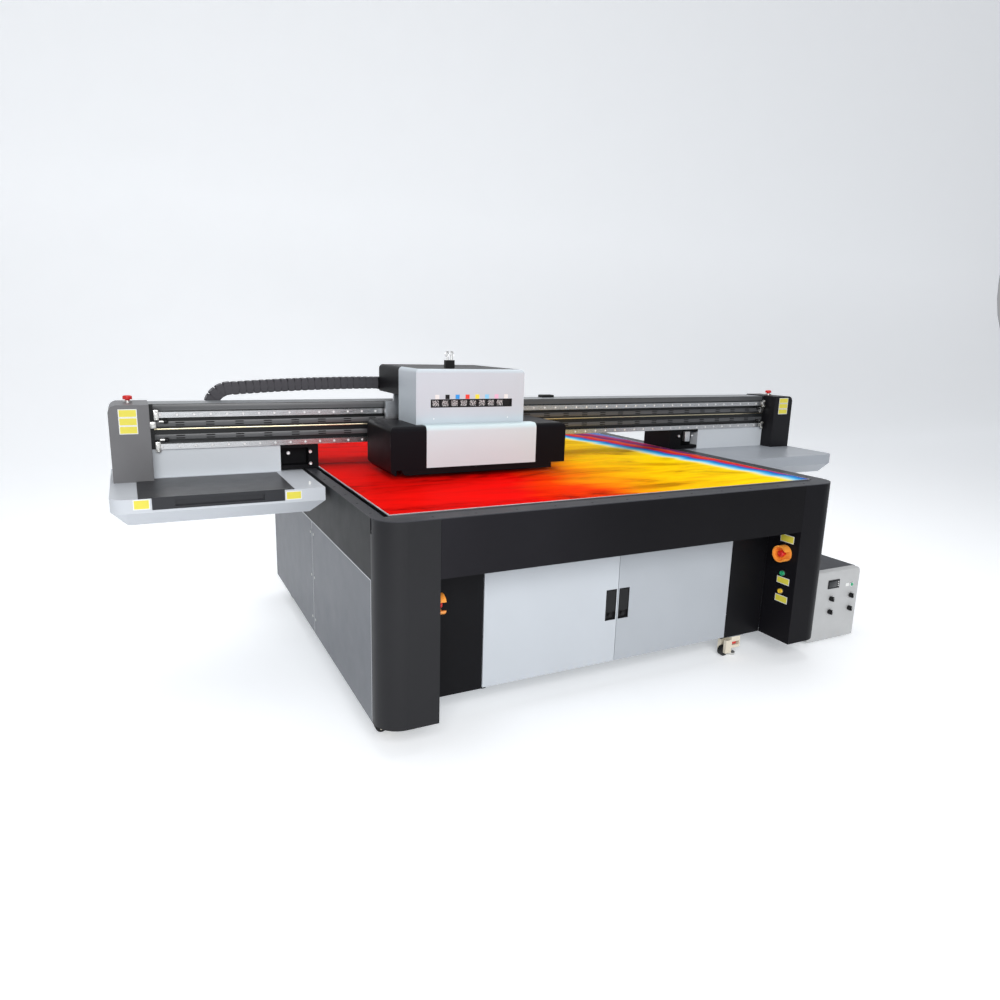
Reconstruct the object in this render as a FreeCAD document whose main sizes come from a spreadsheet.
import os
import re

import FreeCAD
import Part
import Sketcher
from FreeCAD import Placement, Rotation, Vector

# Flatbed UV printer.  Millimetres, +X along the front from left to right, +Y into the
# machine, +Z up.  The origin is on the floor under the middle of the base machine.

doc = FreeCAD.newDocument("flatbed_printer")
dims = doc.addObject("Spreadsheet::Sheet", "dims")

DRIVING = {
    # base machine
    "body_width": 2690, "body_depth": 2380, "body_bottom": 130, "corner_radius": 120,
    "leg_width": 268, "recess_depth": 222, "skin": 3, "band_bottom": 794,
    "fascia_bottom": 798, "rim_top": 1064, "rim_front": 107, "rim_left": 55,
    "rim_right": 101, "rim_rear": 90, "side_seam": 34, "door_centre": 20,
    "door_half": 781, "door_bottom": 134, "door_top": 790, "door_thick": 20,
    "handle_wide": 66, "handle_low": 369, "handle_high": 538, "handle_gap": 8,
    # table and what carries it
    "plate_left": -1268, "plate_right": 1222, "plate_front": -1080, "plate_rear": 1080,
    "plate_top": 1070, "plate_thick": 10, "core_thick": 60, "tube_size": 80, "tube_wall": 4,
    "rail_left": -1280, "rail_right": 1232, "rail_deck": 920,
    # casters
    "caster_front": -930, "caster_rear": 1000, "caster_left": -1200,
    "caster_inner": 905, "caster_right": 1150, "wheel_radius": 31, "wheel_offset": 62,
    # gantry
    "beam_front": 151, "beam_rear": 331, "beam_low": 1204, "beam_top": 1433,
    "beam_half": 2116, "cap_wide": 180, "cap_front": 41, "cap_top": 1439,
    "tray_top": 1059, "tray_edge": 996, "tray_low": 928, "tray_front": -374,
    "tray_rear": 480, "tray_inner": 1362, "tray_outer": 2312, "tray_chamfer": 66,
    "wing_inner": 1480, "wing_rear": 400, "rail_upper_z": 1380, "rail_lower_z": 1219,
    "rail_wide": 28, "rail_tall": 26, "hole_pitch": 80, "foot_rear": 431,
    "foot_low": 1068, "tongue_thick": 12,
    # carriage
    "shell_left": -1022, "shell_right": 23, "shell_front": -374, "shell_rear": 35,
    "shell_low": 1120, "shell_top": 1345, "belly_low": 1092, "box_left": -857,
    "box_right": -215, "box_front": -297, "box_rear": -20, "box_low": 1345,
    "box_top": 1637, "rear_end": 333, "rear_low": 1481,
    # drag chain
    "chain_front": 340, "chain_rear": 430, "chain_thick": 70, "bend_x": -1690,
    "bend_z": 1381, "bend_radius": 150, "chain_end_x": -859, "chain_anchor_x": 60,
    "chain_rise": 27,
    # control unit
    "unit_left": 1430, "unit_wide": 410, "unit_front": -1040, "unit_deep": 560,
    "unit_foot": 18, "unit_tall": 448, "bezel_deep": 42,
}
for row, (alias, value) in enumerate(DRIVING.items(), start=1):
    dims.set("A%d" % row, alias)
    dims.set("B%d" % row, str(value))
    dims.setAlias("B%d" % row, alias)
doc.recompute()

ALIAS = re.compile(r"\b(%s)\b" % "|".join(sorted(DRIVING, key=len, reverse=True)))
nodes = []


def formula(text):
    """Point each alias in a formula at its cell."""
    return ALIAS.sub(r"dims.\1", str(text))


def bind(item, prop, text):
    item.setExpression(prop, formula(text))


def place(item, x, y, z):
    """Bind an item's position, keeping the turn it already has."""
    for letter, text in (("x", x), ("y", y), ("z", z)):
        bind(item, "Placement.Base." + letter, text)


def block(name, x, y, z):
    """A box between two bounds on each axis."""
    box = doc.addObject("Part::Box", name)
    for prop, (low, high) in (("Length", x), ("Width", y), ("Height", z)):
        bind(box, prop, "(%s) - (%s)" % (high, low))
    place(box, x[0], y[0], z[0])
    return box


AXIS_TURN = {
    "x": Rotation(Vector(0, 1, 0), 90),
    "y": Rotation(Vector(1, 0, 0), -90),
    "z": Rotation(),
}


def rod(name, axis, radius, start, length):
    """A cylinder from a start point along +X, +Y or +Z."""
    cylinder = doc.addObject("Part::Cylinder", name)
    cylinder.Placement = Placement(Vector(), AXIS_TURN[axis])
    bind(cylinder, "Radius", radius)
    bind(cylinder, "Height", length)
    place(cylinder, *start)
    return cylinder


def cut(name, base, *tools):
    result = doc.addObject("Part::Cut", name)
    result.Base = base
    result.Tool = tools[0] if len(tools) == 1 else fuse(name + "_tools", *tools)
    return result


def fuse(name, *shapes):
    result = doc.addObject("Part::MultiFuse", name)
    result.Shapes = list(shapes)
    return result


def bundle(name, *shapes):
    """Separate solids that share one node."""
    result = doc.addObject("Part::Compound", name)
    result.Links = list(shapes)
    return result


def soften(name, base, radius, chosen):
    """Round the edges that a test picks out."""
    doc.recompute()
    result = doc.addObject("Part::Fillet", name)
    result.Base = base
    edges = enumerate(base.Shape.Edges, start=1)
    result.Edges = [(index, radius, radius) for index, edge in edges if chosen(edge)]
    return result


def bevel(name, base, size, chosen):
    """Chamfer the edges that a test picks out."""
    doc.recompute()
    result = doc.addObject("Part::Chamfer", name)
    result.Base = base
    edges = enumerate(base.Shape.Edges, start=1)
    result.Edges = [(index, size, size) for index, edge in edges if chosen(edge)]
    return result


def runs_along(edge, letter):
    box = edge.BoundBox
    spans = {"x": box.XLength, "y": box.YLength, "z": box.ZLength}
    return spans[letter] > 0.99 * edge.Length and edge.Length > 1


def near(value, target, slack=0.5):
    return abs(value - target) < slack


def size(alias):
    """The present value of a cell, for choices that code has to make."""
    return float(dims.get(alias))


def subpart(label, item):
    """Name a finished item as one of the separate pieces."""
    item.Label = label
    nodes.append(item)
    return item


def hollow(name, x, y, z, open_face=None, wall="skin"):
    """A sheet-metal box; open_face such as '-z' leaves that side open."""
    outer = block(name + "_outer", x, y, z)
    spans = {"x": x, "y": y, "z": z}
    inner = {}
    for letter, (low, high) in spans.items():
        low_wall = "0 - 5" if open_face == "-" + letter else wall
        high_wall = "0 - 5" if open_face == "+" + letter else wall
        inner[letter] = ("(%s) + (%s)" % (low, low_wall), "(%s) - (%s)" % (high, high_wall))
    return cut(name, outer, block(name + "_inner", inner["x"], inner["y"], inner["z"]))


def tube(name, axis, x, y, z):
    """A straight length of square or rectangular steel tube."""
    outer = block(name + "_outer", x, y, z)
    spans = {"x": x, "y": y, "z": z}
    inner = {}
    for letter, (low, high) in spans.items():
        inset = "0 - 5" if letter == axis else "tube_wall"
        inner[letter] = ("(%s) + (%s)" % (low, inset), "(%s) - (%s)" % (high, inset))
    return cut(name, outer, block(name + "_bore", inner["x"], inner["y"], inner["z"]))


# ---------------------------------------------------------------- base machine

HALF_W = "body_width / 2"
HALF_D = "body_depth / 2"
FRAME_LOW = "body_bottom + 6"
POST_LOW = "body_bottom + 6 + tube_size"
DECK_TOP = POST_LOW + " + 4"
POST_ROWS = ("0 - 940", "70", "1080")


def frame():
    """Bottom ring, six posts, rail beams and the cross tubes that carry the table."""
    pieces = []
    sides = (("left", "rail_left"), ("right", "rail_right"))
    for side, line in sides:
        across = (line + " - tube_size / 2", line + " + tube_size / 2")
        pieces.append(tube("sill_" + side, "y", across, ("0 - 940", "1160"),
                           (FRAME_LOW, POST_LOW)))
        for index, y in enumerate(POST_ROWS):
            pieces.append(tube("post_%s_%d" % (side, index), "z", across,
                               (y, y + " + tube_size"), (POST_LOW, "rail_deck - 120")))
        pieces.append(tube("rail_beam_" + side, "y", across, ("0 - 1070", "1170"),
                           ("rail_deck - 120", "rail_deck")))
    inner = ("rail_left + tube_size / 2", "rail_right - tube_size / 2")
    for index, y in enumerate(POST_ROWS):
        pieces.append(tube("bottom_cross_%d" % index, "x", inner, (y, y + " + tube_size"),
                           (FRAME_LOW, POST_LOW)))
    for index in range(5):
        y = "%d" % (-960 + 480 * index)
        pieces.append(tube("table_cross_%d" % index, "x", inner, (y, y + " + tube_size"),
                           ("rail_deck - tube_size", "rail_deck")))
    for index, x in enumerate(("0 - 900", "0 - 20", "860")):
        pieces.append(tube("table_bearer_%d" % index, "y", (x, x + " + tube_size"),
                           ("plate_front + 20", "plate_rear - 20"),
                           ("rail_deck", "plate_top - plate_thick - core_thick")))
    pieces.append(block("equipment_deck", ("0 - 1100", "1100"), ("0 - 850", "1070"),
                        (POST_LOW, DECK_TOP)))
    for index, (x, y) in enumerate(caster_spots()):
        pieces.append(block("caster_plate_%d" % index, (x + " - 55", x + " + 55"),
                            (y + " - 34", y + " + 76"), ("body_bottom - 6", FRAME_LOW)))
    subpart("base_frame", bundle("base_frame", *pieces))


def caster_spots():
    return (("caster_left", "caster_front"), ("caster_inner", "caster_front"),
            ("caster_left", "caster_rear"), ("caster_right", "caster_rear"))


def corner_columns():
    """Rounded sheet columns that make the two front legs."""
    columns = []
    for side, sign in (("left", -1), ("right", 1)):
        outer_x = "%d * body_width / 2" % sign
        inner_x = "%d * (body_width / 2 - leg_width)" % sign
        x = (outer_x, inner_x) if sign < 0 else (inner_x, outer_x)
        body = block("column_block_" + side, x, ("0 - " + HALF_D, "recess_depth - " + HALF_D),
                     ("body_bottom", "rim_top - 4"))
        edge_x = sign * size("body_width") / 2
        edge_y = -size("body_depth") / 2
        rounded = soften("column_round_" + side, body, size("corner_radius"),
                         lambda e: runs_along(e, "z") and near(e.BoundBox.XMin, edge_x)
                         and near(e.BoundBox.YMin, edge_y))
        inner = ("(%s) + skin" % x[0], "(%s) - skin" % x[1])
        core = block("column_core_" + side, inner,
                     ("skin - " + HALF_D, "recess_depth + 5 - " + HALF_D),
                     ("body_bottom + skin", "rim_top + 5"))
        core_round = soften("column_core_round_" + side, core,
                            size("corner_radius") - size("skin"),
                            lambda e: runs_along(e, "z")
                            and near(e.BoundBox.XMin, edge_x - sign * size("skin"))
                            and near(e.BoundBox.YMin, edge_y + size("skin")))
        back_side = ("0 - 5 - " + HALF_W, "skin + 1 - " + HALF_W)
        if sign > 0:
            back_side = ("%s - skin - 1" % HALF_W, "5 + " + HALF_W)
        rear_gap = block("column_gap_" + side, back_side,
                         ("corner_radius - " + HALF_D, "recess_depth + 5 - " + HALF_D),
                         ("body_bottom - 5", "rim_top + 5"))
        relief = block("column_relief_" + side, ("(%s) - 5" % x[0], "(%s) + 5" % x[1]),
                       ("plate_front - 3", "recess_depth + 5 - " + HALF_D),
                       ("rim_top - 70", "rim_top + 5"))
        columns.append(cut("column_" + side, rounded, core_round, rear_gap, relief))
    subpart("corner_columns", bundle("corner_columns", *columns))


def fascia():
    """Front apron over the knee arch, with its folded soffit."""
    width = ("leg_width + 1 - " + HALF_W, HALF_W + " - leg_width - 1")
    face = block("fascia_face", width, ("0 - " + HALF_D, "skin - " + HALF_D),
                 ("fascia_bottom", "rim_top - 4"))
    soffit = block("fascia_soffit", width, ("0 - " + HALF_D, "recess_depth - skin - " + HALF_D),
                   ("fascia_bottom", "fascia_bottom + skin"))
    subpart("front_fascia", fuse("front_fascia", face, soffit))


def recess_panels():
    """Panels either side of the doors, with the two fixed hinge pins."""
    y = ("recess_depth - " + HALF_D, "recess_depth + skin - " + HALF_D)
    z = ("body_bottom", "fascia_bottom - 1")
    left = block("recess_left", ("leg_width + 1 - " + HALF_W, "door_centre - door_half - 5"), y, z)
    right = block("recess_right", ("door_centre + door_half + 5", HALF_W + " - leg_width - 1"),
                  y, z)
    header = block("recess_header", ("door_centre - door_half - 5", "door_centre + door_half + 5"),
                   ("recess_depth - " + HALF_D, "recess_depth + skin - " + HALF_D),
                   ("fascia_bottom + skin + 1", "fascia_bottom + 60"))
    pins = []
    for side, sign in (("left", -1), ("right", 1)):
        x = "door_centre + %d * (door_half - 8)" % sign
        y_pin = "recess_depth + 10 - " + HALF_D
        for end, low in (("low", "door_bottom - 4"), ("high", "door_top - 20")):
            pins.append(rod("hinge_pin_%s_%s" % (side, end), "z", "4",
                            (x, y_pin, low), "24"))
            bracket_z = "door_bottom - 4 - skin" if end == "low" else "door_top + 4"
            arm = ("door_centre - door_half - 5", x + " + 12")
            if sign > 0:
                arm = (x + " - 12", "door_centre + door_half + 5")
            pins.append(block("hinge_arm_%s_%s" % (side, end), arm,
                              ("recess_depth + 2 - " + HALF_D, "recess_depth + 22 - " + HALF_D),
                              (bracket_z, bracket_z + " + skin")))
    subpart("recess_panels", bundle("recess_panels", left, right, header, *pins))


def door(side, sign):
    """Folded steel door with a cup for its flush handle and bored hinge corners."""
    hinge_x = "door_centre + %d * door_half" % sign
    seam_x = "door_centre + %d * 1.5" % sign
    x = (hinge_x, seam_x) if sign < 0 else (seam_x, hinge_x)
    y = ("recess_depth - " + HALF_D, "recess_depth + door_thick - " + HALF_D)
    pan = hollow("door_pan_" + side, x, y, ("door_bottom", "door_top"), "+y", "2")
    grip = ("door_centre + %d * handle_gap" % sign,
            "door_centre + %d * (handle_gap + handle_wide)" % sign)
    grip = grip if sign > 0 else (grip[1], grip[0])
    cup = block("cup_%s" % side, ("%s - 3" % grip[0], "%s + 3" % grip[1]), y,
                ("handle_low - 3", "handle_high + 3"))
    cup_void = block("cup_void_" + side, grip,
                     ("recess_depth - 5 - " + HALF_D, "recess_depth + door_thick - 3 - " + HALF_D),
                     ("handle_low", "handle_high"))
    pin_x = "door_centre + %d * (door_half - 8)" % sign
    pin_y = "recess_depth + 10 - " + HALF_D
    knuckles = []
    bores = []
    for end, low in (("low", "door_bottom"), ("high", "door_top - 20")):
        knuckles.append(block("knuckle_%s_%s" % (side, end), (pin_x + " - 7", pin_x + " + 7"),
                              ("recess_depth + 1 - " + HALF_D, "recess_depth + 18 - " + HALF_D),
                              (low, low + " + 20")))
        bores.append(rod("knuckle_bore_%s_%s" % (side, end), "z", "4.05",
                         (pin_x, pin_y, low + " - 5"), "30"))
    whole = fuse("door_whole_" + side, pan, cup, *knuckles)
    subpart("door_" + side, cut("door_" + side, whole, cup_void, *bores))


def door_lever(side, sign):
    """Pull paddle hinged at the top of its cup."""
    grip = ("door_centre + %d * handle_gap" % sign,
            "door_centre + %d * (handle_gap + handle_wide)" % sign)
    grip = grip if sign > 0 else (grip[1], grip[0])
    y = "recess_depth + 2 - " + HALF_D
    paddle = block("paddle_" + side, ("%s + 4" % grip[0], "%s - 4" % grip[1]),
                   (y, y + " + 6"), ("handle_low + 45", "handle_high - 8"))
    pin = rod("paddle_pin_" + side, "x", "3", (grip[0] + " + 0.7", y + " + 3", "handle_high - 8"),
              "handle_wide - 1.4")
    subpart("door_lever_" + side, fuse("door_lever_" + side, paddle, pin))


def side_bands():
    """Upper side skins, from the corner columns to the rear."""
    bands = []
    for side, x in (("left", ("0 - " + HALF_W, "skin - " + HALF_W)),
                    ("right", (HALF_W + " - skin", HALF_W))):
        bands.append(block("band_" + side, x, ("corner_radius + 1 - " + HALF_D, HALF_D + " - skin"),
                           ("band_bottom", "rim_top - 4")))
    subpart("side_bands", bundle("side_bands", *bands))


def side_panels():
    """Lower side skins, a front and a rear sheet on each side."""
    panels = []
    for side, x in (("left", ("0 - " + HALF_W, "skin - " + HALF_W)),
                    ("right", (HALF_W + " - skin", HALF_W))):
        for part_name, y in (("front", ("corner_radius + 1 - " + HALF_D, "side_seam - 2")),
                             ("rear", ("side_seam + 2", HALF_D + " - skin"))):
            panels.append(block("side_%s_%s" % (side, part_name), x, y,
                                ("body_bottom", "band_bottom - 2")))
    subpart("side_panels", bundle("side_panels", *panels))


def rear_cover():
    """Back sheet with two banks of cooling slots."""
    sheet = block("rear_sheet", ("0 - " + HALF_W, HALF_W), (HALF_D + " - skin + 1", HALF_D),
                  ("body_bottom", "rim_top - 4"))
    slots = []
    for bank, x in enumerate((-900, 600)):
        for index in range(8):
            z = 300 + 30 * index
            slots.append(block("vent_%d_%d" % (bank, index), (str(x), str(x + 300)),
                               (HALF_D + " - 20", HALF_D + " + 20"), (str(z), str(z + 10))))
    subpart("rear_cover", cut("rear_cover", sheet, *slots))


def bed_rim():
    """Flat rim around the table, level with it, with a slot each side for the gantry feet."""
    plate = block("rim_plate", ("0 - " + HALF_W, HALF_W), ("0 - " + HALF_D, HALF_D),
                  ("rim_top - 4", "rim_top"))
    front = -size("body_depth") / 2
    rounded = soften("rim_round", plate, size("corner_radius"),
                     lambda e: runs_along(e, "z") and near(e.BoundBox.YMin, front))
    opening = block("rim_opening", ("rim_left - " + HALF_W, HALF_W + " - rim_right"),
                    ("rim_front - " + HALF_D, HALF_D + " - rim_rear"),
                    ("rim_top - 20", "rim_top + 20"))
    subpart("bed_rim", cut("bed_rim", rounded, opening))


def vacuum_bed():
    """Table plate over a chambered core with cross channels and one suction port."""
    x = ("plate_left", "plate_right")
    y = ("plate_front", "plate_rear")
    plate = block("bed_plate", x, y, ("plate_top - plate_thick", "plate_top"))
    core_x = ("plate_left + 40", "plate_right - 40")
    core_z = ("plate_top - plate_thick - core_thick", "plate_top - plate_thick")
    core = block("bed_core", core_x, y, core_z)
    chambers = []
    for index in range(6):
        low = "plate_left + 60 + %d * 395" % index
        chambers.append(block("bed_chamber_%d" % index, (low, low + " + 375"),
                              ("plate_front + 20", "plate_rear - 20"),
                              (core_z[0] + " + 5", core_z[1] + " - 2")))
    port = rod("bed_port", "z", "50", ("500", "400", core_z[0] + " - 5"), "20")
    chambered = cut("bed_chambers", core, *chambers, port)
    subpart("vacuum_bed", bundle("vacuum_bed", plate, chambered))


def media_sheet():
    """Printed film lying on the table."""
    subpart("media_sheet", block("media_sheet", ("plate_left + 4", "plate_right - 4"),
                                 ("plate_front + 4", "plate_rear - 4"),
                                 ("plate_top", "plate_top + 1")))


def y_rails():
    """Two guide rails for the gantry on the side beams."""
    rails = []
    for side, line in (("left", "rail_left"), ("right", "rail_right")):
        head = block("y_rail_head_" + side, (line + " - 11.5", line + " + 11.5"),
                     ("0 - 1060", "1160"), ("rail_deck", "rail_deck + 22"))
        grooves = []
        for hand, sign in (("inner", -1), ("outer", 1)):
            edge = "%s + %d * 11.5" % (line, sign)
            grooves.append(block("y_rail_groove_%s_%s" % (side, hand),
                                 (edge + " - 2.5", edge + " + 2.5"),
                                 ("0 - 1070", "1170"), ("rail_deck + 9", "rail_deck + 15")))
        rails.append(cut("y_rail_" + side, head, *grooves))
    subpart("y_rails", bundle("y_rails", *rails))


def blower():
    """Suction blower with its motor and a duct up to the table."""
    volute = cut("volute", rod("volute_case", "x", "150", ("420", "400", DECK_TOP + " + 160"), "160"),
                 rod("volute_void", "x", "140", ("428", "400", DECK_TOP + " + 160"), "144"))
    motor = rod("blower_motor", "x", "90", ("580", "400", DECK_TOP + " + 160"), "220")
    feet = block("blower_feet", ("440", "780"), ("300", "500"), (DECK_TOP, DECK_TOP + " + 12"))
    pillar = block("blower_pillar", ("640", "720"), ("370", "430"), (DECK_TOP + " + 12", DECK_TOP + " + 72"))
    duct = cut("duct", rod("duct_wall", "z", "48", ("500", "400", DECK_TOP + " + 305"), "470"),
               rod("duct_bore", "z", "45", ("500", "400", DECK_TOP + " + 300"), "480"))
    subpart("vacuum_blower", bundle("vacuum_blower", fuse("blower_body", volute, motor, pillar,
                                                          feet), duct))


def electronics():
    """Mounting plate behind the left door with drives, supplies and a terminal row."""
    plate = block("mount_plate", ("0 - 720", "0 - 60"), ("0 - 600", "0 - 597"),
                  (DECK_TOP, DECK_TOP + " + 480"))
    modules = [plate]
    for row_index, z in enumerate((60, 270)):
        for column in range(4):
            low = -690 + 155 * column
            modules.append(block("module_%d_%d" % (row_index, column),
                                 (str(low), str(low + 115)), ("0 - 700", "0 - 600"),
                                 ("%s + %d" % (DECK_TOP, z), "%s + %d" % (DECK_TOP, z + 170))))
    subpart("electronics_panel", bundle("electronics_panel", *modules))


def ink_tanks():
    """Eight main tanks with screw caps behind the right door."""
    tanks = []
    for index in range(8):
        x = 120 + 145 * (index % 4)
        y = -760 + 170 * (index // 4)
        can = block("tank_can_%d" % index, (str(x), str(x + 120)), (str(y), str(y + 130)),
                    (DECK_TOP, DECK_TOP + " + 230"))
        cap = rod("tank_cap_%d" % index, "z", "24", (str(x + 60), str(y + 65), DECK_TOP + " + 230"),
                  "26")
        tanks.append(fuse("tank_%d" % index, can, cap))
    subpart("ink_tanks", bundle("ink_tanks", *tanks))


# ---------------------------------------------------------------- push buttons

LEG_FACE = {"left": "leg_width - " + HALF_W, "right": HALF_W + " - leg_width"}
ESTOP_Y = -1098
ESTOP_Z = 653
BUTTON_Y = -1100
START_Z = 534
RESET_Z = 427


def axis_rod(name, face, direction, radius, offset, length, y, z):
    """A rod that stands off a leg's inner face; direction is +1 or -1 along X."""
    low = offset if direction > 0 else -(offset + length)
    return rod(name, "x", str(radius), ("%s + (%s)" % (face, low), str(y), str(z)), str(length))


def leg_estops():
    """Mushroom stops inside both legs, each behind a notched guard ring."""
    guards = []
    for side, direction in (("left", 1), ("right", -1)):
        face = LEG_FACE[side]
        ring = axis_rod("guard_ring_" + side, face, direction, 48, 0.3, 48, ESTOP_Y, ESTOP_Z)
        bore = axis_rod("guard_bore_" + side, face, direction, 40, 4.3, 80, ESTOP_Y, ESTOP_Z)
        low, high = (4.3, 90) if direction > 0 else (-90, -4.3)
        notch = block("guard_notch_" + side, ("%s + (%s)" % (face, low), "%s + %s" % (face, high)),
                      (str(ESTOP_Y - 60), str(ESTOP_Y)), (str(ESTOP_Z - 20), str(ESTOP_Z + 20)))
        stem_bore = axis_rod("guard_stem_bore_" + side, face, direction, 11.3, -2, 20,
                             ESTOP_Y, ESTOP_Z)
        guards.append(cut("guard_" + side, ring, bore, notch, stem_bore))
        stem = axis_rod("leg_stem_" + side, face, direction, 11, 5, 19.6, ESTOP_Y, ESTOP_Z)
        head = axis_rod("leg_head_" + side, face, direction, 20, 24.6, 16, ESTOP_Y, ESTOP_Z)
        mushroom = soften("leg_mushroom_" + side, fuse("leg_knob_" + side, stem, head), 6,
                          lambda e: e.Length > 120 and top_ring(e, side))
        subpart("leg_estop_" + side, mushroom)
    subpart("estop_guards", bundle("estop_guards", *guards, *button_collars()))


def top_ring(edge, side):
    """Whether a round edge is the outer rim of a mushroom head."""
    face = size("leg_width") - size("body_width") / 2
    face = face if side == "left" else -face
    return near(abs(edge.BoundBox.XMin - face), 40.6, 1)


def small_button(label, z):
    """A round push button on the right leg: a cap that slides over a fixed collar's stem."""
    face = LEG_FACE["right"]
    cap = axis_rod(label + "_cap", face, -1, 13, 2.5, 11, BUTTON_Y, z)
    subpart(label, cap)


def button_collars():
    """Silver collars around the two small buttons."""
    collars = []
    for index, z in enumerate((START_Z, RESET_Z)):
        face = LEG_FACE["right"]
        ring = axis_rod("collar_ring_%d" % index, face, -1, 17, 0.3, 5, BUTTON_Y, z)
        bore = axis_rod("collar_bore_%d" % index, face, -1, 13.1, -1, 9, BUTTON_Y, z)
        collars.append(cut("collar_%d" % index, ring, bore))
    return collars


# ---------------------------------------------------------------- casters

def casters():
    """Levelling casters: the pad carries the machine, the fork swivels round its screw."""
    pads = []
    for index, (x, y) in enumerate(caster_spots()):
        foot = rod("pad_foot_%d" % index, "z", "26", (x, y, "0"), "14")
        screw = rod("pad_screw_%d" % index, "z", "8", (x, y, "14"), "body_bottom - 6 - 14")
        pads.append(fuse("pad_%d" % index, foot, screw))
        turret = block("turret_%d" % index, (x + " - 34", x + " + 34"), (y + " - 34", y + " + 34"),
                       ("52", "body_bottom - 7"))
        wheel_x = "%s - wheel_offset" % x
        arm = block("arm_%d" % index, (wheel_x + " - 12", x + " - 30"), (y + " - 34", y + " - 14"),
                    ("24", "body_bottom - 26"))
        arm_back = block("arm_back_%d" % index, (wheel_x + " - 12", x + " - 30"),
                         (y + " + 14", y + " + 34"), ("24", "body_bottom - 26"))
        axle = rod("axle_%d" % index, "y", "5", (wheel_x, y + " - 34", "wheel_radius + 1"), "68")
        screw_bore = rod("screw_bore_%d" % index, "z", "8.1", (x, y, "0"), "body_bottom")
        window = block("window_%d" % index, (x + " - 28", x + " + 28"), (y + " - 40", y + " + 40"),
                       ("70", "92"))
        housing = cut("housing_%d" % index, fuse("fork_raw_%d" % index, turret, arm, arm_back),
                      screw_bore, window)
        thumb = cut("thumb_%d" % index, rod("thumb_ring_%d" % index, "z", "27", (x, y, "74"), "14"),
                    rod("thumb_bore_%d" % index, "z", "8.1", (x, y, "70"), "20"))
        subpart("caster_fork_%d" % (index + 1),
                bundle("caster_fork_%d" % (index + 1), fuse("fork_%d" % index, housing, axle),
                       thumb))
        tyre = rod("tyre_%d" % index, "y", "wheel_radius", (wheel_x, y + " - 13",
                                                             "wheel_radius + 1"), "26")
        bore = rod("tyre_bore_%d" % index, "y", "5.06", (wheel_x, y + " - 20",
                                                          "wheel_radius + 1"), "40")
        subpart("caster_wheel_%d" % (index + 1), cut("caster_wheel_%d" % (index + 1), tyre, bore))
    subpart("levelling_pads", bundle("levelling_pads", *pads))


# ---------------------------------------------------------------- control unit

KNOB_SPOTS = ((1590, 288), (1590, 203), (1768, 288), (1768, 203))
SWITCH_SPOT = (1768, 358)


def control_unit():
    """Free-standing cabinet with a deep rounded bezel, four knobs and a switch."""
    right = "unit_left + unit_wide"
    top = "unit_foot + unit_tall"
    rear = "unit_front + unit_deep"
    case = hollow("unit_shell", ("unit_left + 4", right + " - 4"),
                  ("unit_front + bezel_deep", rear), ("unit_foot", top + " - 4"), None, "4")
    feet = []
    for index in range(4):
        x = "unit_left + 60" if index % 2 == 0 else right + " - 60"
        y = "unit_front + 50" if index < 2 else rear + " - 50"
        feet.append(rod("unit_foot_%d" % index, "z", "14", (x, y, "0"), "unit_foot"))
    subpart("control_unit_case", bundle("control_unit_case", case, *feet))
    block_shape = block("bezel_block", ("unit_left", right), ("unit_front",
                                                              "unit_front + bezel_deep"),
                        ("unit_foot", top))
    high = size("unit_foot") + size("unit_tall")
    rounded = soften("bezel_round", block_shape, 30,
                     lambda e: runs_along(e, "y") and near(e.BoundBox.ZMax, high))
    softer = soften("bezel_soft", rounded, 12,
                    lambda e: near(e.BoundBox.YMax, size("unit_front"))
                    and e.BoundBox.YLength < 0.1 and e.BoundBox.ZMax > size("unit_foot") + 1)
    holes = [rod("knob_hole_%d" % i, "y", "4.06", (str(x), "unit_front - 5", str(z)), "30")
             for i, (x, z) in enumerate(KNOB_SPOTS)]
    holes.append(rod("switch_hole", "y", "10.3", (str(SWITCH_SPOT[0]), "unit_front - 5",
                                                str(SWITCH_SPOT[1])), "30"))
    subpart("control_unit_bezel", cut("control_unit_bezel", softer, *holes))
    for index, (x, z) in enumerate(KNOB_SPOTS):
        shaft = rod("knob_shaft_%d" % index, "y", "4", (str(x), "unit_front - 1", str(z)), "20")
        grip = rod("knob_grip_%d" % index, "y", "15", (str(x), "unit_front - 19", str(z)), "18")
        ridge = block("knob_ridge_%d" % index, (str(x - 3), str(x + 3)),
                      ("unit_front - 26", "unit_front - 18"), (str(z - 14), str(z + 14)))
        subpart("unit_knob_%d" % (index + 1),
                fuse("unit_knob_%d" % (index + 1), shaft, grip, ridge))
    x, z = SWITCH_SPOT
    subpart("unit_switch", rod("unit_switch", "y", "10", (str(x), "unit_front - 6", str(z)), "26"))


# ---------------------------------------------------------------- gantry

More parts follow.
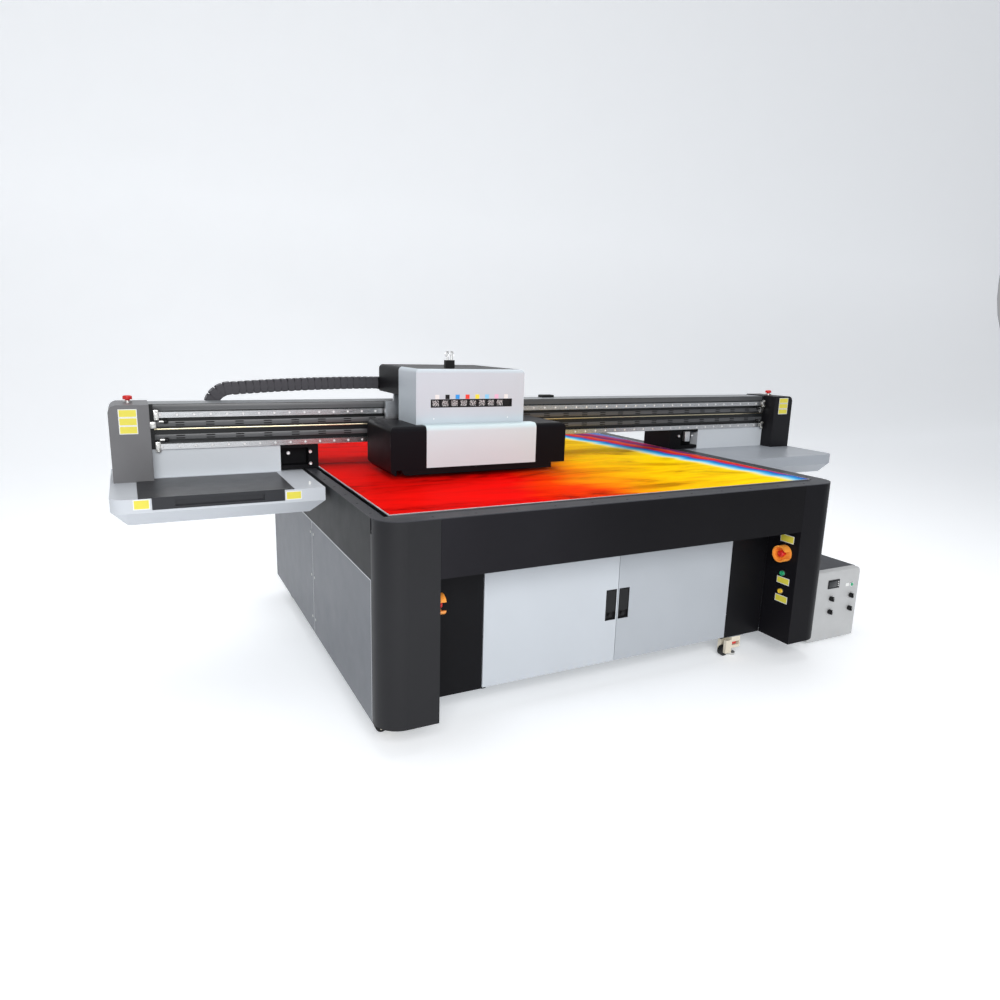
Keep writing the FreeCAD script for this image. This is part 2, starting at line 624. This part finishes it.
def slotted_rail(name, z_line):
    """One guide rail of the carriage, drilled along its length."""
    body = doc.addObject("PartDesign::Body", name)
    plane = [f for f in body.Origin.OriginFeatures if f.Role == "XZ_Plane"][0]
    profile = body.newObject("Sketcher::SketchObject", name + "_outline")
    profile.AttachmentSupport = [(plane, "")]
    profile.MapMode = "FlatFace"
    half = size("beam_half") - 20
    rise = size("rail_wide") / 2
    corners = [Vector(-half, -rise, 0), Vector(half, -rise, 0), Vector(half, rise, 0),
               Vector(-half, rise, 0)]
    for index in range(4):
        profile.addGeometry(Part.LineSegment(corners[index], corners[(index + 1) % 4]), False)
    for index in range(4):
        profile.addConstraint(Sketcher.Constraint("Coincident", index, 2, (index + 1) % 4, 1))
    for index in (0, 2):
        profile.addConstraint(Sketcher.Constraint("Horizontal", index))
    for index in (1, 3):
        profile.addConstraint(Sketcher.Constraint("Vertical", index))
    profile.addConstraint(Sketcher.Constraint("Symmetric", 0, 1, 1, 2, -1, 1))
    profile.addConstraint(Sketcher.Constraint("DistanceX", 0, 1, 0, 2, 2 * half))
    profile.renameConstraint(profile.ConstraintCount - 1, "long")
    profile.addConstraint(Sketcher.Constraint("DistanceY", 1, 1, 1, 2, 2 * rise))
    profile.renameConstraint(profile.ConstraintCount - 1, "high")
    bind(profile, "Constraints.long", "2 * (beam_half - 20)")
    bind(profile, "Constraints.high", "rail_wide")
    pad = body.newObject("PartDesign::Pad", name + "_bar")
    pad.Profile = profile
    bind(pad, "Length", "rail_tall")
    doc.recompute()
    drill = body.newObject("Sketcher::SketchObject", name + "_drill")
    drill.AttachmentSupport = [(plane, "")]
    drill.MapMode = "FlatFace"
    first = -half + 30
    drill.addGeometry(Part.Circle(Vector(first, 0, 0), Vector(0, 0, 1), 7), False)
    drill.addConstraint(Sketcher.Constraint("Radius", 0, 7))
    drill.addConstraint(Sketcher.Constraint("DistanceY", 0, 3, -1, 1, 0))
    drill.addConstraint(Sketcher.Constraint("DistanceX", 0, 3, -1, 1, -first))
    drill.renameConstraint(drill.ConstraintCount - 1, "start")
    bind(drill, "Constraints.start", "beam_half - 50")
    pocket = body.newObject("PartDesign::Pocket", name + "_counterbore")
    pocket.Profile = drill
    pocket.Midplane = True
    bind(pocket, "Length", "2 * rail_tall + 20")
    doc.recompute()
    repeat = body.newObject("PartDesign::LinearPattern", name + "_holes")
    repeat.Originals = [pocket]
    repeat.Direction = (drill, ["H_Axis"])
    count = int((2 * half - 60) // size("hole_pitch")) + 1
    repeat.Occurrences = count
    repeat.Length = (count - 1) * size("hole_pitch")
    body.Tip = repeat
    doc.recompute()
    place(body, "0", "beam_front", z_line)
    return body


def x_rails():
    """Both carriage rails and the slotted linear motor track between them."""
    upper = slotted_rail("rail_upper", "rail_upper_z")
    lower = slotted_rail("rail_lower", "rail_lower_z")
    mid_z = "(rail_upper_z + rail_lower_z) / 2"
    track = block("motor_track", ("25 - beam_half", "beam_half - 25"),
                  ("beam_front - 10", "beam_front"), (mid_z + " - 34", mid_z + " + 34"))
    subpart("x_rails", bundle("x_rails", upper, lower, track))


def beam():
    """Hollow cross beam."""
    section = tube("beam_box", "x", ("0 - beam_half", "beam_half"), ("beam_front", "beam_rear"),
                   ("beam_low", "beam_top"))
    subpart("beam", section)


CAP_BUTTON_Y = "200"


def end_caps():
    """Hollow covers on the beam ends with a rounded upper outer edge."""
    for side, sign in (("left", -1), ("right", 1)):
        near_x = "%d * beam_half" % sign
        far_x = "%d * (beam_half + cap_wide)" % sign
        x = (far_x, near_x) if sign < 0 else (near_x, far_x)
        y = ("cap_front", "beam_rear")
        outer = block("cap_outer_" + side, x, y, ("tray_top", "cap_top"))
        far = sign * (size("beam_half") + size("cap_wide"))
        high = size("cap_top")
        rounded = soften("cap_round_" + side, outer, 40,
                         lambda e: runs_along(e, "y") and near(e.BoundBox.ZMax, high)
                         and near(e.BoundBox.XMin, far))
        void = block("cap_void_" + side, ("(%s) + 45" % x[0], "(%s) - 4" % x[1]) if sign < 0
                     else ("(%s) + 4" % x[0], "(%s) - 45" % x[1]),
                     ("cap_front + 4", "beam_rear - 4"), ("tray_top + 4", "cap_top - 4"))
        collar_x = "%d * (beam_half + cap_wide / 2)" % sign
        collar = rod("cap_collar_" + side, "z", "22", (collar_x, CAP_BUTTON_Y, "cap_top"), "8")
        stem_hole = rod("cap_stem_hole_" + side, "z", "11.1",
                        (collar_x, CAP_BUTTON_Y, "cap_top - 30"), "60")
        whole = fuse("cap_whole_" + side, cut("cap_shell_" + side, rounded, void), collar)
        subpart("end_cap_" + side, cut("end_cap_" + side, whole, stem_hole))
        stem = rod("cap_stem_" + side, "z", "11", (collar_x, CAP_BUTTON_Y, "cap_top - 3"), "24")
        head = rod("cap_head_" + side, "z", "22", (collar_x, CAP_BUTTON_Y, "cap_top + 16"), "18")
        mushroom = soften("cap_mushroom_" + side, fuse("cap_knob_" + side, stem, head), 6,
                          lambda e: near(e.BoundBox.ZMin, size("cap_top") + 34, 0.2)
                          and e.BoundBox.ZLength < 0.1)
        subpart("cap_estop_" + side, mushroom)



def shelf_block(name, sign):
    """A shelf beside the base machine, chamfered below along its front and both ends."""
    inner_x = "%d * tray_inner" % sign
    outer_x = "%d * tray_outer" % sign
    x = (outer_x, inner_x) if sign < 0 else (inner_x, outer_x)
    raw = block(name + "_raw", x, ("tray_front", "tray_rear"), ("tray_low", "tray_top"))
    outer = sign * size("tray_outer")
    front = size("tray_front")
    low = size("tray_low")
    rounded = soften(name + "_corner", raw, 72,
                     lambda e: runs_along(e, "z") and near(e.BoundBox.XMin, outer)
                     and near(e.BoundBox.YMin, front))
    return bevel(name + "_bevel", rounded, size("tray_chamfer"),
                 lambda e: near(e.BoundBox.ZMin, low) and near(e.BoundBox.ZMax, low)
                 and not near(e.BoundBox.YMin, size("tray_rear")))


STATION = ("0 - 2142", "0 - 1558")
COVER_SPAN = ("0 - 2196", "0 - 1512")
COVER_REAR = "100"


def station_tray():
    """Left shelf: hollow tray with a drawer bay and the head capping station inside."""
    solid = shelf_block("tray", -1)
    bay = block("tray_bay", STATION, ("tray_front - 10", COVER_REAR),
                ("tray_top - 54", "tray_top + 10"))
    well = block("tray_well", ("0 - 2100", "0 - 1600"), ("0 - 200", "60"),
                 ("tray_low + 8", "tray_top"))
    rear_well = block("tray_rear_well", ("0 - 2200", "0 - 1500"), ("140", "440"),
                      ("tray_low + 8", "tray_top - 8"))
    tray = cut("tray_shell", solid, bay, well, rear_well)
    pads = []
    for index in range(6):
        low = -2070 + 76 * index
        base = block("cap_base_%d" % index, (str(low), str(low + 56)), ("0 - 150", "20"),
                     ("tray_low + 8", "tray_low + 40"))
        lip = block("cap_lip_%d" % index, (str(low + 8), str(low + 48)), ("0 - 140", "10"),
                    ("tray_low + 24", "tray_low + 45"))
        pads.append(cut("capping_%d" % index, base, lip))
    subpart("station_tray", bundle("station_tray", tray, *pads))


def right_shelf():
    """Right shelf, hollow and open at the back."""
    solid = shelf_block("shelf", 1)
    void = block("shelf_void", ("tray_inner + 76", "tray_outer - 80"),
                 ("tray_front + 80", "tray_rear - 10"), ("tray_low + 8", "tray_top - 4"))
    subpart("right_shelf", cut("right_shelf", solid, void))


def station_cover():
    """Black sliding cover over the station, with a long finger slot in its front."""
    gap = "0.6"
    x = ("%s + %s" % (STATION[0], gap), "%s - %s" % (STATION[1], gap))
    top = block("cover_top", COVER_SPAN, ("tray_front - 2", COVER_REAR + " - 1"),
                ("tray_top + 0.5", "tray_top + 3.5"))
    front = block("cover_front", x, ("tray_front - 2", "tray_front + 22"),
                  ("tray_top - 53", "tray_top + 0.5"))
    rims = []
    for index, low in enumerate((x[0], x[1] + " - 4")):
        rims.append(block("cover_rim_%d" % index, (low, low + " + 4"),
                          ("tray_front", COVER_REAR + " - 1"),
                          ("tray_top - 53", "tray_top + 0.5")))
    slot = block("cover_slot", ("0 - 2046", "0 - 1654"), ("tray_front - 10", "tray_front + 12"),
                 ("tray_top - 42", "tray_top - 12"))
    corner = block("cover_corner", ("0 - 2250", "0.6 - beam_half"), ("cap_front - 0.6", "cap_front + 80"),
                   ("tray_top - 60", "tray_top + 10"))
    subpart("station_cover", cut("station_cover", fuse("cover_whole", top, front, *rims),
                                 slot, corner))


def wing_boxes():
    """Pale sheet boxes that close the gap between the shelves and the beam."""
    boxes = []
    for side, sign in (("left", -1), ("right", 1)):
        near_x = "%d * wing_inner" % sign
        far_x = "%d * (beam_half - 3)" % sign
        x = (far_x, near_x) if sign < 0 else (near_x, far_x)
        boxes.append(hollow("wing_" + side, x, ("beam_front - 11", "wing_rear"),
                            ("tray_top", "beam_low")))
    subpart("wing_boxes", bundle("wing_boxes", *boxes))


def gantry_feet():
    """Cast feet that carry the beam, each with a tongue down the slot to a rail block."""
    feet = []
    for side, sign, line in (("left", -1, "rail_left"), ("right", 1, "rail_right")):
        outer = "%d * (wing_inner - 2)" % sign
        inner = "%s - %d * tongue_thick / 2" % (line, sign)
        x = (outer, inner) if sign < 0 else (inner, outer)
        y = ("beam_front - 10", "foot_rear")
        foot = block("foot_" + side, x, y, ("foot_low", "beam_low"))
        pocket_x = (outer, "(%s) + (%d)" % (outer, 150)) if sign < 0 else \
                   ("(%s) - (%d)" % (outer, 150), outer)
        pocket = block("foot_pocket_" + side, pocket_x, ("beam_front - 30", "beam_front + 60"),
                       ("foot_low + 20", "beam_low - 20"))
        tongue = block("tongue_" + side, (line + " - tongue_thick / 2", line + " + tongue_thick / 2"),
                       y, ("rail_deck + 46", "foot_low"))
        slider = block("slider_" + side, (line + " - 33", line + " + 33"), y,
                       ("rail_deck + 6", "rail_deck + 46"))
        channel = block("slider_channel_" + side, (line + " - 12", line + " + 12"),
                        ("beam_front - 30", "foot_rear + 20"), ("rail_deck", "rail_deck + 22.6"))
        feet.append(cut("gantry_foot_" + side, fuse("foot_raw_" + side, foot, tongue, slider),
                        channel, pocket))
    subpart("gantry_feet", bundle("gantry_feet", *feet))


CHAIN_END_LOW = "bend_z + bend_radius - chain_thick + chain_rise"


def chain_tray():
    """Trough behind the beam with the part of the lower chain run that never moves."""
    x = ("0 - beam_half", "chain_anchor_x + 140")
    low = "bend_z - bend_radius - 10"
    floor = block("trough_floor", x, ("beam_rear", "chain_rear + 12"), (low, low + " + 3"))
    wall = block("trough_wall", x, ("chain_rear + 9", "chain_rear + 12"), (low, low + " + 100"))
    anchor = block("chain_anchor", ("chain_anchor_x", "chain_anchor_x + 60"),
                   ("chain_front", "chain_rear"), (low + " + 3", low + " + 80"))
    parked = block("chain_parked", ("chain_anchor_x - 740", "chain_anchor_x"),
                   ("chain_front", "chain_rear"), ("bend_z - bend_radius",
                                                   "bend_z - bend_radius + chain_thick"))
    subpart("chain_tray", bundle("chain_tray", fuse("trough", floor, wall, anchor), parked))


def drag_chain():
    """Bowed upper run of the cable chain and the bend it rolls round."""
    low = size("bend_z") + size("bend_radius") - size("chain_thick")
    start = Vector(size("bend_x") + 0.3, size("chain_front"), low)
    end = Vector(size("chain_end_x") - 0.3, size("chain_front"), low + size("chain_rise"))
    crown = (start + end) / 2 + Vector(0, 0, size("chain_rise") / 2)
    lift = Vector(0, 0, size("chain_thick"))
    outline = Part.Wire([Part.Arc(start, crown, end).toShape(),
                         Part.LineSegment(end, end + lift).toShape(),
                         Part.Arc(end + lift, crown + lift, start + lift).toShape(),
                         Part.LineSegment(start + lift, start).toShape()])
    upper = doc.addObject("Part::Feature", "chain_upper_run")
    wide = Vector(0, size("chain_rear") - size("chain_front"), 0)
    upper.Shape = Part.Face(outline).extrude(wide)
    subpart("chain_upper_run", upper)
    outer = rod("bend_outer", "y", "bend_radius", ("bend_x", "chain_front", "bend_z"),
                "chain_rear - chain_front")
    inner = rod("bend_inner", "y", "bend_radius - chain_thick",
                ("bend_x", "chain_front - 5", "bend_z"), "chain_rear - chain_front + 10")
    half = block("bend_half", ("bend_x", "bend_x + 200"), ("chain_front - 5", "chain_rear + 5"),
                 ("bend_z - 200", "bend_z + 200"))
    subpart("chain_bend", cut("chain_bend", outer, inner, half))


# ---------------------------------------------------------------- carriage

def slider_plate():
    """Plate with four rail blocks, the coil of the linear motor and two lift rails."""
    plate = block("slider_sheet", ("shell_left + 122", "shell_right - 123"),
                  ("beam_front - 71", "beam_front - 51"), ("beam_low - 24", "beam_top + 6"))
    riser = block("slider_riser", ("box_left + 6", "box_right - 6"),
                  ("beam_front - 71", "beam_front - 51"), ("beam_top + 6", "rear_low"))
    pieces = [plate, riser]
    channels = []
    for index in range(2):
        for level, z in (("upper", "rail_upper_z"), ("lower", "rail_lower_z")):
            low = "shell_left + 150 + %d * 640" % index
            tag = "%s_%d" % (level, index)
            pieces.append(block("rail_block_" + tag, (low, low + " + 110"),
                                ("beam_front - 51", "beam_front - 12"),
                                (z + " - 32", z + " + 32")))
            channels.append(block("rail_channel_" + tag, (low + " - 5", low + " + 115"),
                                  ("beam_front - rail_tall - 0.6", "beam_front + 5"),
                                  (z + " - rail_wide / 2 - 0.4", z + " + rail_wide / 2 + 0.4")))
    mid_z = "(rail_upper_z + rail_lower_z) / 2"
    pieces.append(block("motor_coil", ("shell_left + 300", "shell_right - 300"),
                        ("beam_front - 51", "beam_front - 14"), (mid_z + " - 26", mid_z + " + 26")))
    for index, x in enumerate(("shell_left + 260", "shell_right - 300")):
        pieces.append(block("lift_rail_%d" % index, (x, x + " + 20"),
                            ("beam_front - 85", "beam_front - 71"), ("beam_low", "beam_top")))
    subpart("slider_plate", cut("slider_plate", fuse("slider_raw", *pieces), *channels))


def rear_box():
    """Dark cover over the beam that holds the boards and the moving end of the chain."""
    x = ("box_left", "box_right")
    y = ("box_rear + 3", "rear_end")
    outer = block("rear_outer", x, y, ("rear_low", "box_top"))
    top = size("box_top")
    rounded = soften("rear_round", outer, 25,
                     lambda e: runs_along(e, "y") and near(e.BoundBox.ZMin, top))
    void = block("rear_void", ("box_left + 4", "box_right - 4"), ("box_rear + 7", "rear_end - 4"),
                 ("rear_low + 4", "box_top - 26"))
    arm = block("chain_arm", ("chain_end_x", "chain_end_x + 120"), ("rear_end", "chain_rear"),
                (CHAIN_END_LOW, CHAIN_END_LOW + " + chain_thick"))
    subpart("rear_box", fuse("rear_box", cut("rear_shell", rounded, void), arm))


WINDOW_X = ("0 - 775", "0 - 290")
WINDOW_Z = ("1434", "1478")


def upper_cover():
    """Pale cover of the ink unit, open below and behind, with the bottle window cut out."""
    outer = block("upper_block", ("box_left", "box_right"), ("box_front", "box_rear"),
                  ("box_low", "box_top"))
    top = size("box_top")
    rounded = soften("upper_round", outer, 22,
                     lambda e: near(e.BoundBox.ZMin, top)
                     and not near(e.BoundBox.YMin, size("box_rear")))
    void = block("upper_void", ("box_left + 3", "box_right - 3"), ("box_front + 3", "box_rear - 3"),
                 ("box_low - 5", "box_top - 24"))
    window = block("ink_window", WINDOW_X, ("box_front - 10", "box_front + 10"), WINDOW_Z)
    subpart("upper_cover", bundle("upper_cover", cut("ink_cover", rounded, void, window),
                                  hose_clip()))



def ink_bottles():
    """Sub-tanks seen through the window, on their shelf."""
    pieces = [block("bottle_shelf", ("box_left + 8", "box_right - 8"),
                    ("box_front + 6", "box_front + 96"), ("1400", "1406"))]
    for index in range(8):
        x = -741 + 60 * index
        bottle = rod("bottle_%d" % index, "z", "24", (str(x), "box_front + 36", "1406"), "90")
        neck = rod("bottle_neck_%d" % index, "z", "12", (str(x), "box_front + 36", "1496"), "18")
        pieces.append(fuse("bottle_whole_%d" % index, bottle, neck))
    subpart("ink_bottles", bundle("ink_bottles", *pieces))


def lower_shell():
    """Black shell round the print heads, rounded above, open below."""
    outer = block("shell_block", ("shell_left", "shell_right"), ("shell_front", "shell_rear"),
                  ("shell_low", "shell_top"))
    top = size("shell_top")
    rounded = soften("shell_round", outer, 28,
                     lambda e: near(e.BoundBox.ZMin, top)
                     and not near(e.BoundBox.YMin, size("shell_rear")))
    void = block("shell_void", ("shell_left + 4", "shell_right - 4"),
                 ("shell_front + 4", "shell_rear - 4"), ("shell_low - 5", "shell_top - 30"))
    blade = block("guard_blade", ("shell_left + 1", "shell_left + 30"),
                  ("shell_front", "shell_rear - 6"), ("belly_low", "shell_low"))
    blade_low = size("belly_low")
    blade_left = size("shell_left") + 1
    edge = bevel("guard_edge", blade, 22,
                 lambda e: near(e.BoundBox.ZMax, blade_low) and near(e.BoundBox.XMax, blade_left))
    subpart("lower_shell", fuse("lower_shell", cut("shell_skin", rounded, void), edge))


def front_panel():
    """Pale front panel that wraps over the shell's upper edge."""
    x = ("shell_left + 195", "shell_right - 195")
    outer = block("panel_block", x, ("shell_front - 4", "shell_front + 74"),
                  ("shell_low + 7", "shell_top + 4"))
    top = size("shell_top") + 4
    rounded = soften("panel_round", outer, 30,
                     lambda e: runs_along(e, "x") and near(e.BoundBox.ZMin, top)
                     and near(e.BoundBox.YMin, size("shell_front") - 4))
    room = block("panel_room", ("shell_left + 190", "shell_right - 190"),
                 ("shell_front", "shell_front + 80"), ("shell_low", "shell_top"))
    base = size("shell_top")
    room_round = soften("panel_room_round", room, 27,
                        lambda e: runs_along(e, "x") and near(e.BoundBox.ZMin, base)
                        and near(e.BoundBox.YMin, size("shell_front")))
    subpart("front_panel", cut("front_panel", rounded, room_round))


def head_plate():
    """Belly plate with the print heads and a lamp at each end, and the lift carriage."""
    belly = block("belly", ("shell_left + 60", "shell_right - 88"),
                  ("shell_front", "shell_rear - 10"), ("belly_low", "shell_low - 0.5"))
    low = size("belly_low")
    left = size("shell_left") + 60
    bevelled = bevel("belly_bevel", belly, 18,
                     lambda e: near(e.BoundBox.ZMax, low) and near(e.BoundBox.XMax, left))
    heads = []
    for column in range(4):
        for row_index in range(2):
            x = -760 + 120 * column + 40 * row_index
            y = -260 + 120 * row_index
            heads.append(block("head_%d_%d" % (column, row_index), (str(x), str(x + 60)),
                               (str(y), str(y + 90)), ("belly_low - 8", "shell_low + 110")))
    lamps = []
    for side, x in (("left", "shell_left + 100"), ("right", "shell_right - 200")):
        lamps.append(block("lamp_" + side, (x, x + " + 90"), ("0 - 300", "0 - 60"),
                           ("belly_low - 4", "shell_low + 120")))
    lift = block("lift_plate", ("shell_left + 240", "shell_right - 240"),
                 ("shell_rear + 3", "beam_front - 86"), ("shell_low - 0.5", "shell_top + 30"))
    foot = block("lift_foot", ("shell_left + 240", "shell_right - 240"),
                 ("shell_rear - 20", "beam_front - 86"), ("belly_low + 14", "shell_low - 0.5"))
    subpart("head_plate", fuse("head_plate", bevelled, lift, foot, *heads, *lamps))


def hose_clip():
    """Spring clamp with two wire loops on the cover's top."""
    x = -608
    y = -148
    body = block("clip_body", (str(x - 26), str(x + 26)), (str(y - 14), str(y + 14)),
                 ("box_top", "box_top + 42"))
    wires = []
    for index, shift in enumerate((-13, 13)):
        for leg in (-5, 5):
            wires.append(rod("wire_%d_%d" % (index, leg + 5), "z", "2",
                             (str(x + shift + leg), str(y), "box_top + 42"), "40"))
        wires.append(block("wire_top_%d" % index, (str(x + shift - 7), str(x + shift + 7)),
                           (str(y - 2), str(y + 2)), ("box_top + 82", "box_top + 90")))
    return fuse("hose_clip", body, *wires)


# ---------------------------------------------------------------- make and write

frame()
corner_columns()
fascia()
recess_panels()
for side, sign in (("left", -1), ("right", 1)):
    door(side, sign)
    door_lever(side, sign)
side_bands()
side_panels()
rear_cover()
bed_rim()
vacuum_bed()
media_sheet()
y_rails()
blower()
electronics()
ink_tanks()
leg_estops()
small_button("start_button", START_Z)
small_button("reset_button", RESET_Z)
casters()
control_unit()
beam()
x_rails()
end_caps()
station_tray()
right_shelf()
station_cover()
wing_boxes()
gantry_feet()
chain_tray()
drag_chain()
slider_plate()
rear_box()
upper_cover()
ink_bottles()
lower_shell()
front_panel()
head_plate()
doc.recompute()

faults = [item.Name for item in doc.Objects
          if "Invalid" in item.State or "Error" in item.State]
for item in nodes:
    shape = getattr(item, "Shape", None)
    if shape is None or shape.isNull() or not shape.isValid() or not shape.Solids:
        faults.append(item.Label)
if faults:
    raise SystemExit("these did not build: " + ", ".join(faults))
os.makedirs("parts", exist_ok=True)
for item in nodes:
    item.Shape.exportStep("parts/%s.step" % item.Label)
print(len(nodes), "sub-parts written")
